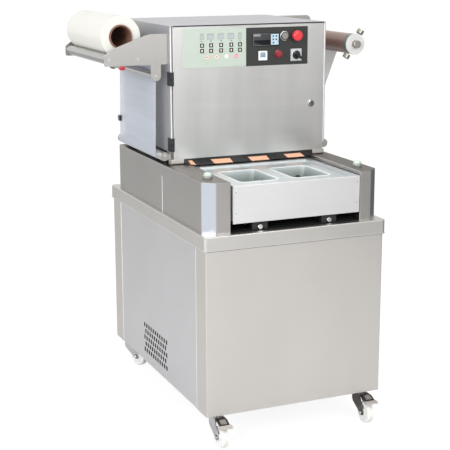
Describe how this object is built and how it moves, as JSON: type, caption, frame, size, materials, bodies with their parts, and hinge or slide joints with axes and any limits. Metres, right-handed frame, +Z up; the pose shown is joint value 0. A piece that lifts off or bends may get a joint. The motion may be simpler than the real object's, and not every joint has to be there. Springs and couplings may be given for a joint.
{
  "type": "vacuum tray sealer",
  "caption": "Semi-automatic tray sealer: a steel cabinet on castors, a die with trays sliding under a sealing head, a film reel on the left and a film rewinder on the right.",
  "frame": {"origin": "on the floor under the middle of the cabinet", "axes": "+Z up, +X to the operator's right, +Y to the back of the machine"},
  "size_m": [1.0741, 1.08, 1.5077],
  "materials": {
    "stainless": "brushed",
    "door_face": "brushed",
    "head_grey": "satin",
    "bracket": "brushed",
    "drawer_front": "brushed",
    "die_metal": "anodised",
    "tray": "smooth",
    "black_block": "matte",
    "ground_rod": "ground",
    "strip": "striped",
    "keypad": "printed film",
    "panel_black": "satin",
    "instrument_black": "gloss",
    "display_white": "gloss",
    "lamp_red": "gloss",
    "switch_plate": "satin",
    "chrome_small": "polished",
    "start_white": "gloss",
    "stop_red": "gloss",
    "knob_black": "gloss",
    "hinge_black": "satin",
    "palm_cap": "gloss",
    "roller_chrome": "polished",
    "roller_aluminium": "turned",
    "card": "wound card",
    "film_roll": "wound film",
    "film": "clear film",
    "collar_grey": "satin",
    "disc_white": "satin",
    "castor_steel": "pressed",
    "wheel_nylon": "smooth"
  },
  "bodies": {
    "sealer": {"cabinet_front_and_back": "stainless", "cabinet_side_panels": "stainless", "cabinet_floor": "stainless", "worktop": "stainless", "table_housings_front": "stainless", "table_housings_rear": "stainless", "slide_supports": "black_block", "guide_rods": "ground_rod", "head_frame": "head_grey", "sealing_tool": "die_metal", "head_sides": "stainless", "head_top": "stainless", "head_back": "stainless", "front_strip": "strip", "hinge_frame_leaves": "hinge_black", "palm_button_bezels": "chrome_small", "film_bracket": "bracket", "lower_roller_carriers": "bracket", "film_web": "film", "film_waste": "film", "rewind_bracket": "bracket", "castor_plates": "castor_steel"},
    "door": {"head_door": "door_face", "keypad_panel": "keypad", "switch_panel": "panel_black", "temperature_controller": "instrument_black", "pressure_display": "display_white", "alarm_lamp": "lamp_red", "switch_plate": "switch_plate", "door_lock": "chrome_small", "button_bezels": "chrome_small", "hinge_door_leaves": "hinge_black"},
    "start_button": {"start_button": "start_white"},
    "emergency_stop": {"emergency_stop": "stop_red"},
    "switch_knob": {"switch_knob": "knob_black"},
    "drawer": {"tray_die": "die_metal", "trays": "tray", "drawer_front": "drawer_front", "slide_carriage": "die_metal"},
    "reel": {"reel_core": "card", "film_roll": "film_roll"},
    "support_roller_outer": {"support_roller_outer": "roller_chrome"},
    "support_roller_inner": {"support_roller_inner": "roller_chrome"},
    "upper_guide_roller": {"upper_guide_roller": "roller_aluminium"},
    "lower_roller_left": {"lower_roller_left": "roller_aluminium"},
    "lower_roller_right": {"lower_roller_right": "roller_aluminium"},
    "rewinder": {"rewind_core": "card", "rewind_collar": "collar_grey", "rewind_disc": "disc_white", "rewind_shaft": "chrome_small"},
    "palm_button_left": {"palm_button_left": "palm_cap"},
    "palm_button_right": {"palm_button_right": "palm_cap"},
    "castor_fork_front_left": {"castor_fork_front_left": "castor_steel"},
    "castor_wheel_front_left": {"castor_wheel_front_left": "wheel_nylon"},
    "castor_fork_front_right": {"castor_fork_front_right": "castor_steel"},
    "castor_wheel_front_right": {"castor_wheel_front_right": "wheel_nylon"},
    "castor_fork_rear_left": {"castor_fork_rear_left": "castor_steel"},
    "castor_wheel_rear_left": {"castor_wheel_rear_left": "wheel_nylon"},
    "castor_fork_rear_right": {"castor_fork_rear_right": "castor_steel"},
    "castor_wheel_rear_right": {"castor_wheel_rear_right": "wheel_nylon"}
  },
  "joints": [
    {"name": "drawer_slide", "type": "slide", "parent": "sealer", "child": "drawer", "axis": [0, 1, 0], "range_m": [0, 0.4]},
    {"name": "door_hinge", "type": "hinge", "parent": "sealer", "child": "door", "pos_m": [-0.3125, -0.109, 1.153], "axis": [0, 0, -1], "range_deg": [0, 105]},
    {"name": "start_button_push", "type": "slide", "parent": "door", "child": "start_button", "axis": [0, 1, 0], "range_m": [0, 0.004], "stiffness_N_per_m": 400},
    {"name": "emergency_stop_push", "type": "slide", "parent": "door", "child": "emergency_stop", "axis": [0, 1, 0], "range_m": [0, 0.004], "stiffness_N_per_m": 600},
    {"name": "switch_turn", "type": "hinge", "parent": "door", "child": "switch_knob", "pos_m": [0.19, -0.117, 1.348], "axis": [0, 1, 0], "range_deg": [0, 90]},
    {"name": "reel_spin", "type": "hinge", "parent": "sealer", "child": "reel", "pos_m": [-0.489, 0.164, 1.43267], "axis": [0, 1, 0], "continuous": true},
    {"name": "rewind_spin", "type": "hinge", "parent": "sealer", "child": "rewinder", "pos_m": [0.465, 0.17, 1.376], "axis": [0, 1, 0], "continuous": true},
    {"name": "support_roller_outer_spin", "type": "hinge", "parent": "sealer", "child": "support_roller_outer", "pos_m": [-0.541, 0.169, 1.354], "axis": [0, 1, 0], "continuous": true},
    {"name": "support_roller_inner_spin", "type": "hinge", "parent": "sealer", "child": "support_roller_inner", "pos_m": [-0.437, 0.169, 1.354], "axis": [0, 1, 0], "continuous": true},
    {"name": "upper_guide_roller_spin", "type": "hinge", "parent": "sealer", "child": "upper_guide_roller", "pos_m": [-0.366, 0.169, 1.2895], "axis": [0, 1, 0], "continuous": true},
    {"name": "lower_roller_left_spin", "type": "hinge", "parent": "sealer", "child": "lower_roller_left", "pos_m": [-0.342, 0.155, 0.992], "axis": [0, 1, 0], "continuous": true},
    {"name": "lower_roller_right_spin", "type": "hinge", "parent": "sealer", "child": "lower_roller_right", "pos_m": [0.342, 0.1765, 0.992], "axis": [0, 1, 0], "continuous": true},
    {"name": "palm_button_left_push", "type": "slide", "parent": "sealer", "child": "palm_button_left", "axis": [0, 0, -1], "range_m": [0, 0.004], "stiffness_N_per_m": 400, "springref_m": -0.002},
    {"name": "palm_button_right_push", "type": "slide", "parent": "sealer", "child": "palm_button_right", "axis": [0, 0, -1], "range_m": [0, 0.004], "stiffness_N_per_m": 400, "springref_m": -0.002},
    {"name": "castor_swivel_front_left", "type": "hinge", "parent": "sealer", "child": "castor_fork_front_left", "pos_m": [-0.295, -0.47, 0.104], "axis": [0, 0, 1], "continuous": true},
    {"name": "castor_roll_front_left", "type": "hinge", "parent": "castor_fork_front_left", "child": "castor_wheel_front_left", "pos_m": [-0.295, -0.516, 0.04], "axis": [1, 0, 0], "continuous": true},
    {"name": "castor_swivel_front_right", "type": "hinge", "parent": "sealer", "child": "castor_fork_front_right", "pos_m": [0.295, -0.47, 0.104], "axis": [0, 0, 1], "continuous": true},
    {"name": "castor_roll_front_right", "type": "hinge", "parent": "castor_fork_front_right", "child": "castor_wheel_front_right", "pos_m": [0.295, -0.516, 0.04], "axis": [1, 0, 0], "continuous": true},
    {"name": "castor_swivel_rear_left", "type": "hinge", "parent": "sealer", "child": "castor_fork_rear_left", "pos_m": [-0.295, 0.47, 0.104], "axis": [0, 0, 1], "continuous": true},
    {"name": "castor_roll_rear_left", "type": "hinge", "parent": "castor_fork_rear_left", "child": "castor_wheel_rear_left", "pos_m": [-0.27777, 0.42735, 0.04], "axis": [0.9272, 0.3746, 0], "continuous": true},
    {"name": "castor_swivel_rear_right", "type": "hinge", "parent": "sealer", "child": "castor_fork_rear_right", "pos_m": [0.295, 0.47, 0.104], "axis": [0, 0, 1], "continuous": true},
    {"name": "castor_roll_rear_right", "type": "hinge", "parent": "castor_fork_rear_right", "child": "castor_wheel_rear_right", "pos_m": [0.295, 0.424, 0.04], "axis": [1, 0, 0], "continuous": true}
  ]
}
